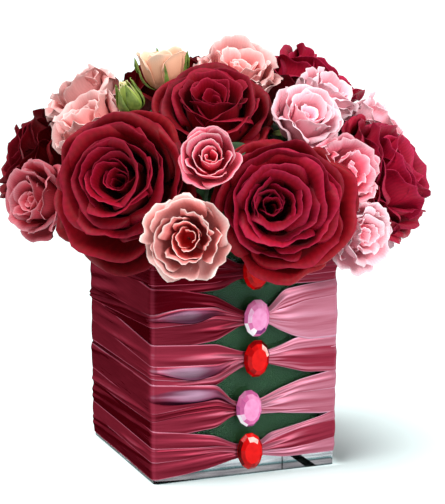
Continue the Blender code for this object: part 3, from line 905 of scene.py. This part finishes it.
def make_strip(name, material, strip, pinch_at, seed):
    """One satin strip round the vase, closed at the back, gathered under a gem.

    Its top and bottom edges are eased lines along its length. Across it, it is slightly crowned, and
    pleats stand out from it: smooth ridges at random shares of the width, each fading with distance from
    the gem, so that they run together there. A puff is a lens-shaped fold that stands out most at one
    place, with its crest drooping, a painted highlight above, painted shade below and towards the gem, and
    a painted sheen. shade is the dye from deep to a painted highlight, partly painted shade on the vase's
    left, with painted shade on the folds' down-facing flanks, painted highlights on the crests and where
    the satin bends over the vase's corners, and paler woven edges.
    """
    rng = np.random.default_rng(seed)
    s = length_grid()[:, None]
    t = np.linspace(-1, 1, STRIP_ROWS)[None, :]
    high = np.minimum(edge_line(s, *strip.top), RIM)
    low = edge_line(s, *strip.bottom)
    far = np.abs(s - pinch_at)
    out = strip.layer * MM + 0.5 * MM * (1 - t**2) + 0.12 * MM * np.sin(s / (17 * MM) + seed)
    crest = np.zeros_like(out + t)
    for side in (-1, 1):
        mask = smooth((side * (s - pinch_at) + 3 * MM) / (6 * MM))
        for _ in range(PLEATS):
            place, width = rng.uniform(-0.85, 0.85), rng.uniform(0.10, 0.28)
            tall, reach = rng.uniform(0.4, 1.3), rng.uniform(14, 56) * MM
            drift = rng.uniform(-0.3, 0.3)
            where = place + drift * far / (60 * MM)
            crest = crest + mask * tall * np.exp(-((far / reach) ** 2)) * bump(t, where, width)
    droop = np.zeros_like(crest)
    painted_gloss_and_shade = np.zeros_like(crest)
    haze = np.zeros_like(crest)
    for where, reach, place, width, tall in strip.puffs:
        swell = bump(s, where * MM, reach * MM)
        fold = bump(t, place, width) * (1 + 0.7 * np.tanh((place - t) / (0.4 * width)))
        crest = crest + tall * swell * fold
        droop = droop + 0.5 * tall * swell * fold
        lens = np.sqrt(np.clip(1 - ((s / MM - where) / (1.5 * reach)) ** 2, 0, 1))
        inside = (t - place) / (1.3 * width * lens + 0.02)
        body = lens * smooth((1.1 - np.abs(inside)) / 0.35)
        toward = smooth((s / MM - where) / reach)
        # Painted highlight above the puff's fold, painted shade below it and towards the gem.
        painted_gloss_and_shade = painted_gloss_and_shade + body * (0.04 - 0.50 * smooth((0.35 - inside) / 0.9) - 0.22 * toward)
        # The puff's mask for its painted sheen.
        haze = np.maximum(haze, body)
    for _ in range(FAR_FOLDS):
        where, reach = rng.uniform(-250, 250), rng.uniform(18, 50)
        if abs(where) > FRONT_HALF:
            place = rng.uniform(-0.7, 0.7) + 0.008 * (s / MM - where)
            crest = crest + rng.uniform(0.4, 1.2) * bump(s, where * MM, reach * MM) * bump(t, place, 0.2)
    out = out + crest * MM
    z = low + (high - low) * (t + 1) / 2 - (0.4 * crest + droop) * MM
    flat, way = around_vase(s)
    place = flat + way * np.broadcast_to(out, (len(s), t.shape[1]))[..., None]
    sheet = np.concatenate([place, z[..., None]], axis=-1)
    # The tones are partly the strips' dye and partly painted shade, darker on the vase's left.
    left_side, left, right, right_side = strip.tones
    tone = eased(
        s,
        [(-260, right_side), (-195, left_side), (-66, left_side), (-62, left), (-2, left), (8, right),
         (62, right), (68, right_side), (260, right_side)],
        2 * MM,
    )
    edge = smooth((np.abs(t) - 0.88) / 0.08)
    # Painted light: lighter where a fold faces up and darker where it faces down, lighter on the crests and
    # at the corners' bends.
    slope = np.clip(np.gradient(crest, axis=1) / 0.06, -2, 2)
    corner = bump(np.abs(np.abs(s) - PERIMETER / 4), PERIMETER / 8, 0.8 * MM)
    shade = 0.74 * tone + 0.10 * np.minimum(crest, 2.0) - 0.07 * slope
    shade = shade + 0.40 * edge + 0.14 * corner + painted_gloss_and_shade - 0.05
    return closed_strip(name, sheet, {"shade": shade, "haze": haze}, s, high - low, material)


def closed_strip(name, sheet, values, s, tall, material):
    """A shell of a strip that closes on itself along its length, with named values at its points."""
    rows, columns, _ = sheet.shape
    ring = np.concatenate([sheet[-1:], sheet, sheet[:1]])
    normal = unit(np.cross(ring[2:] - ring[:-2], np.gradient(sheet, axis=1)))
    lift = normal * SATIN_THICKNESS / 2
    points = np.stack([sheet + lift, sheet - lift]).reshape(-1, 3)
    upper, under = np.arange(2 * rows * columns).reshape(2, rows, columns)
    upper_next, under_next = np.roll(upper, -1, axis=0), np.roll(under, -1, axis=0)
    corners = (
        (upper[:, :-1], upper_next[:, :-1], upper_next[:, 1:], upper[:, 1:]),
        (under[:, 1:], under_next[:, 1:], under_next[:, :-1], under[:, :-1]),
        (upper[:, 0], under[:, 0], under_next[:, 0], upper_next[:, 0]),
        (upper[:, -1], upper_next[:, -1], under_next[:, -1], under[:, -1]),
    )
    faces = np.concatenate([np.stack([corner.ravel() for corner in four], axis=1) for four in corners])
    u = np.broadcast_to(s, (rows, columns))
    v = (np.linspace(0, 1, columns)[None, :] - 0.5) * tall
    uv = np.stack([u, v], axis=-1).reshape(-1, 2)
    values = {key: np.tile(np.broadcast_to(v, (rows, columns)).reshape(-1), 2) for key, v in values.items()}
    return mesh_object(name, points, faces, material, np.tile(uv, (2, 1)), values)


# A strip's layer, its tones on the left side, the front's left and right halves and the right side, partly
# its dye and partly painted shade, its top and bottom edges, and its puffs: place, reach, share of the
# width, width and height. Bands are numbered from the foot up, and lengths are in millimetres.
Strip = namedtuple("Strip", "layer tones top bottom puffs", defaults=[()])
STRIPS = {
    (5, "upper"): Strip(
        0.6, (0.08, 0.04, 0.3, 0.26),
        (151, 151, 151, ((-20, 150), (-5, 141.5), (14, 141.5), (30, 150)), 151, 151),
        (139, 138, 139, ((-20, 139), (-5, 136), (14, 136), (30, 139)), 140, 139),
    ),
    (5, "middle"): Strip(
        1.2, (0.1, 0.06, 0.36, 0.3),
        (143, 142, 142, ((-25, 141), (-5, 139), (14, 139), (30, 140)), 142, 142),
        (130, 130, 131.5, ((-45, 130.8), (-22, 130.3), (-5, 134), (14, 134), (41, 131)), 132, 130),
    ),
    (5, "lower"): Strip(
        0.6, (0.06, 0.1, 0.4, 0.3),
        (134, 134, 134, ((-25, 133), (-5, 136), (14, 136), (30, 134)), 136, 134),
        (119, 124, 124, ((-32, 125), (-16, 126), (-5, 132.5), (14, 132.5), (34, 126)), 126, 121),
    ),
    (4, "upper"): Strip(
        1.4, (0.26, 0.06, 0.74, 0.54),
        (123, 138, 130, ((-45, 127.7), (-22, 122.2), (-3, 110.5), (15, 110.5), (26, 122.9),
         (41, 124.9)), 127.5, 124),
        (108, 105, 106, ((-45, 111), (-22, 111), (-3, 107), (15, 107), (28, 108), (41, 112)), 114, 112),
    ),
    (4, "middle"): Strip(
        1.7, (0.1, 0.34, 0.84, 0.54),
        (113, 108, 112, ((-55, 114.5), (-45, 115.8), (-22, 115), (-3, 109), (15, 109), (28, 110.6),
         (41, 115.3)), 118, 114),
        (100, 98, 104, ((-35, 105), (-22, 107), (-3, 104), (15, 101.5), (23, 96.3), (34.6, 90.8),
         (45, 87.9)), 88.3, 92),
        ((-40, 17, 0.3, 0.4, 3.8),),
    ),
    (4, "lower"): Strip(
        0.7, (0.04, 0.22, 0.8, 0.54),
        (104, 103, 107, ((-22, 109), (-3, 106), (15, 106), (30, 104)), 104, 104),
        (92, 97, 91.5, ((-42, 89.8), (-20, 92.5), (-3, 101.5), (15, 101.5), (25, 96.5), (41, 91.5)), 91, 93),
    ),
    (3, "upper"): Strip(
        1.2, (0.3, 0.36, 0.8, 0.54),
        (94, 101, 93, ((-39, 91), (-20, 90), (-3, 83.5), (15, 83.5), (24, 86), (35, 90)), 91, 95),
        (80, 80, 76, ((-39, 74), (-20, 75), (-3, 79), (15, 79), (38, 79.9)), 80.7, 82),
    ),
    (3, "middle"): Strip(
        1.6, (0.27, 0.46, 0.5, 0.48),
        (83, 84, 79, ((-52, 78), (-39, 77.5), (-20, 77), (-3, 81), (15, 81), (38, 83)), 83.5, 84),
        (66, 69, 70.5, ((-49, 68), (-39, 67.3), (-22, 68.3), (-3, 77), (15, 74.5), (41.7, 66.3)), 64.7, 66),
        ((-38, 18, 0.3, 0.42, 3.6),),
    ),
    (3, "lower"): Strip(
        0.6, (0.16, 0.36, 0.52, 0.48),
        (74, 74, 72, ((-22, 71), (-3, 78), (15, 78), (30, 76)), 74, 74),
        (63, 62.5, 62, ((-45, 60.5), (-20, 62.5), (-3, 74.5), (15, 74.5), (41, 68)), 66, 64),
    ),
    (2, "upper"): Strip(
        1.5, (0.2, 0.4, 0.8, 0.54),
        (66, 67, 67, ((-45, 65), (-20, 63), (-9, 50.5), (9, 50.5), (24, 57), (38, 61.5)), 66.5, 67),
        (50, 49, 46.2, ((-37, 49.5), (-20, 51), (-9, 48), (9, 47), (37, 52.5)), 53, 51),
        ((-36, 20, 0.1, 0.45, 2.4),),
    ),
    (2, "middle"): Strip(
        1.1, (0.24, 0.16, 0.76, 0.5),
        (54, 52, 50, ((-37, 52), (-20, 53), (-9, 49), (9, 49), (37, 55)), 56, 54),
        (40, 38.5, 41.3, ((-43, 44.3), (-20, 45.7), (-9, 44), (9, 43), (27, 39.4), (54, 36.6)), 36.6, 38),
    ),
    (2, "lower"): Strip(
        0.6, (0.06, 0.34, 0.8, 0.54),
        (44, 44, 43.5, ((-20, 48), (-9, 46.5), (9, 46.5), (30, 44)), 44, 44),
        (36, 35, 34, ((-43, 31.9), (-20, 34), (-9, 41.5), (9, 41.5), (27, 40)), 38, 37),
    ),
    (1, "upper"): Strip(
        0.8, (0.06, 0.32, 0.72, 0.5),
        (38, 39, 36, ((-45, 33), (-22, 29), (-7, 21.5), (10, 21.5), (16, 27), (38, 31.4),
         (54, 35)), 39.5, 40),
        (25, 20, 21, ((-32, 20.5), (-11, 20), (-7, 18.5), (10, 18.5), (37, 26.5)), 30, 28),
    ),
    (1, "middle"): Strip(
        1.3, (0.3, 0.34, 0.42, 0.42),
        (29, 25, 24.5, ((-32, 22), (-11, 21.5), (-7, 20), (10, 20), (37, 29)), 32, 30),
        (15, 15, 14.5, ((-41, 14.9), (-20, 17.5), (-7, 15.5), (10, 15.5), (33, 13.8)), 19.5, 16),
    ),
    (1, "lower"): Strip(
        0.7, (0.12, 0.3, 0.8, 0.54),
        (18, 18, 17, ((-20, 19), (-7, 18), (10, 17.5), (33, 17)), 22, 19),
        (6, 2.5, 2.5, ((-43, 4.5), (-26, 7), (-7, 12), (10, 12.5), (27, 9.3)), 9.5, 8),
    ),
}


def make_ribbons():
    """All strips, which it gives back as a list."""
    satin = satin_material()
    strips_made = []
    for (number, part), strip in STRIPS.items():
        pinch_at = GEMS[number - 1][1] * MM
        made = make_strip(f"ribbon_{number}_{part}", satin, strip, pinch_at, number * 7 + len(part))
        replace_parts(made, f"ribbon_band_{number}")
        strips_made.append(made)
    return strips_made


def glass_material():
    """Clear glass with a teal cast, whose foot has painted shade: greyer in level streaks and dark at its
    bottom edge.
    """
    made, tree, shader = principled(
        "clear_glass", Roughness=0.0, Transmission_Weight=1.0, Specular_Tint=(0.25, 0.30, 0.30), IOR=1.35
    )
    height = node(tree, "SeparateXYZ", (room_place(tree),)).outputs[2]
    streak = noise(tree, stretched(tree, room_place(tree), (45, 45, 420)), 1.0, 3.0)
    colour = ramp(tree, streak, [(0.38, (0.42, 0.40, 0.44)), (0.62, (0.95, 0.92, 0.96))])
    # Painted shade darkens the foot's bottom edge; above the foot the glass keeps its own teal cast.
    for start, end, tone in ((1.6, 0.6, (0.05, 0.13, 0.14)), (8.0, 10.0, (0.82, 0.90, 0.91))):
        colour = mix_colour(tree, map_range(tree, height, start * MM, end * MM), colour, tone)
    fill(tree, shader.inputs["Base Color"], colour)
    return made


def foam_material():
    """Wet green foam, with painted shade that makes its open pores darker."""
    made, tree, shader = principled("wet_foam", Roughness=0.9, Specular_IOR_Level=0.2)
    pores = node(tree, "TexVoronoi", {"Vector": room_place(tree), "Scale": 900.0}).outputs["Distance"]
    colour = ramp(tree, pores, [(0.0, (0.015, 0.050, 0.017)), (0.5, (0.036, 0.105, 0.036))])
    fill(tree, shader.inputs["Base Color"], colour)
    relief(tree, shader, pores, 0.5, 0.4)
    return made


# A stone's colours from its darkest painted facets to its painted glints.
STONES = dict(
    red=(
        (0.10, (0.05, 0.0, 0.0)), (0.45, (0.55, 0.001, 0.002)),
        (0.80, (0.85, 0.008, 0.006)), (1.0, (1.0, 0.62, 0.55)),
    ),
    pink=(
        (0.10, (0.16, 0.02, 0.14)), (0.45, (0.70, 0.14, 0.36)),
        (0.75, (0.84, 0.38, 0.62)), (1.0, (1.0, 0.92, 0.96)),
    ),
)


def make_vase():
    finish_cad("glass_vase", glass_material())
    finish_cad("floral_foam", foam_material())
    stones = {colour: gem_material(f"{colour}_stone", stops) for colour, stops in STONES.items()}
    for number, (height, aside, tilt, colour) in enumerate(GEMS, start=1):
        make_gem(f"gem_{number}", height, aside, tilt, stones[colour], PAINTED_GLINTS[number])


# ---- room, light and camera


SKY = 0.42
BACKDROP = (0.97, 1.0, 1.0)
FLOOR_HALF = 6.0
FLOOR_DROP = 0.2 * MM


def sun(name, azimuth, elevation, strength, softness):
    """A sun that shines from an azimuth, 0 in front and 90 at the right, and an elevation, in degrees."""
    data = bpy.data.lights.new(name, "SUN")
    data.energy = strength
    data.angle = math.radians(softness)
    obj = placed_object(name, data)
    az, el = math.radians(azimuth), math.radians(elevation)
    aim_along(obj, -Vector((math.sin(az) * math.cos(el), -math.cos(az) * math.cos(el), math.sin(el))))
    return obj


def linked(name, objects, state="INCLUDE"):
    """A collection for light linking, which takes the objects in or leaves them out."""
    chosen = bpy.data.collections.new(name)
    for obj in objects:
        chosen.objects.link(obj)
    for entry in chosen.collection_objects:
        entry.light_linking.link_state = state
    return chosen


def make_room(blockers):
    """A white room: the camera sees plain white, and the part is lit by a dimmer sky and soft lights.

    The floor has a light of its own, which only the blockers shade.
    """
    world = bpy.data.worlds.new("white_room")
    bpy.context.scene.world = world
    world.use_nodes = True
    tree = world.node_tree
    backdrop = tree.nodes["Background"]
    fill(tree, backdrop.inputs[0], BACKDROP)
    sky = node(tree, "Background", ((1, 1, 1), SKY))
    seen = node(tree, "LightPath").outputs["Is Camera Ray"]
    choice = node(tree, "MixShader", (seen, sky.outputs[0], backdrop.outputs[0]))
    fill(tree, tree.nodes["World Output"].inputs[0], choice.outputs[0])
    mesh = bpy.data.meshes.new("floor")
    corners = FLOOR_HALF * np.array([(-1, -1, 0), (1, -1, 0), (1, 1, 0), (-1, 1, 0)]) - (0, 0, FLOOR_DROP)
    mesh.from_pydata(corners, [], [(0, 1, 2, 3)])
    floor = placed_object("floor", mesh)
    made, _, _ = principled(
        "pale_floor",
        Base_Color=(0.78, 0.89, 0.885),
        Roughness=0.8,
        Specular_IOR_Level=0.1,
        Emission_Color=(0.60, 0.98, 0.96),
        Emission_Strength=0.12,
    )
    mesh.materials.append(made)
    front = sun("front", azimuth=18, elevation=28, strength=1.65, softness=20)
    right = sun("right", azimuth=75, elevation=35, strength=0.8, softness=30)
    over = sun("over_left", azimuth=-85, elevation=64, strength=2.5, softness=30)
    pool = sun("floor_light", azimuth=-88, elevation=66, strength=3.7, softness=40)
    for light in (front, over):
        light.light_linking.receiver_collection = linked(f"{light.name}_leaves_out", [floor], "EXCLUDE")
    right.light_linking.receiver_collection = linked("right_leaves_out", [floor, *blockers], "EXCLUDE")
    pool.light_linking.receiver_collection = linked("floor_only", [floor])
    pool.light_linking.blocker_collection = linked("vase_only", blockers)


VIEW_TURN = math.radians(-21.07)
VIEW_TILT = math.radians(10.92)
VIEW_DISTANCE = 1.35
VIEW_CENTRE = (0.0079, 0.0, 0.1376)
LENS = 142.9


def make_camera():
    """A long lens that looks at the vase's near corner from a little above."""
    spin = Matrix.Rotation(VIEW_TURN, 3, "Z")
    back = Vector((0, -math.cos(VIEW_TILT), math.sin(VIEW_TILT)))
    data = bpy.data.cameras.new("camera")
    data.lens = LENS
    data.sensor_width = 36
    data.clip_end = 50
    camera = placed_object("camera", data)
    camera.location = spin @ (Vector(VIEW_CENTRE) + back * VIEW_DISTANCE)
    aim_along(camera, spin @ -back)
    bpy.context.scene.camera = camera
    bpy.context.scene.view_settings.view_transform = "Standard"


make_camera()
make_blooms()
make_buds()
make_vase()
make_room(make_ribbons())
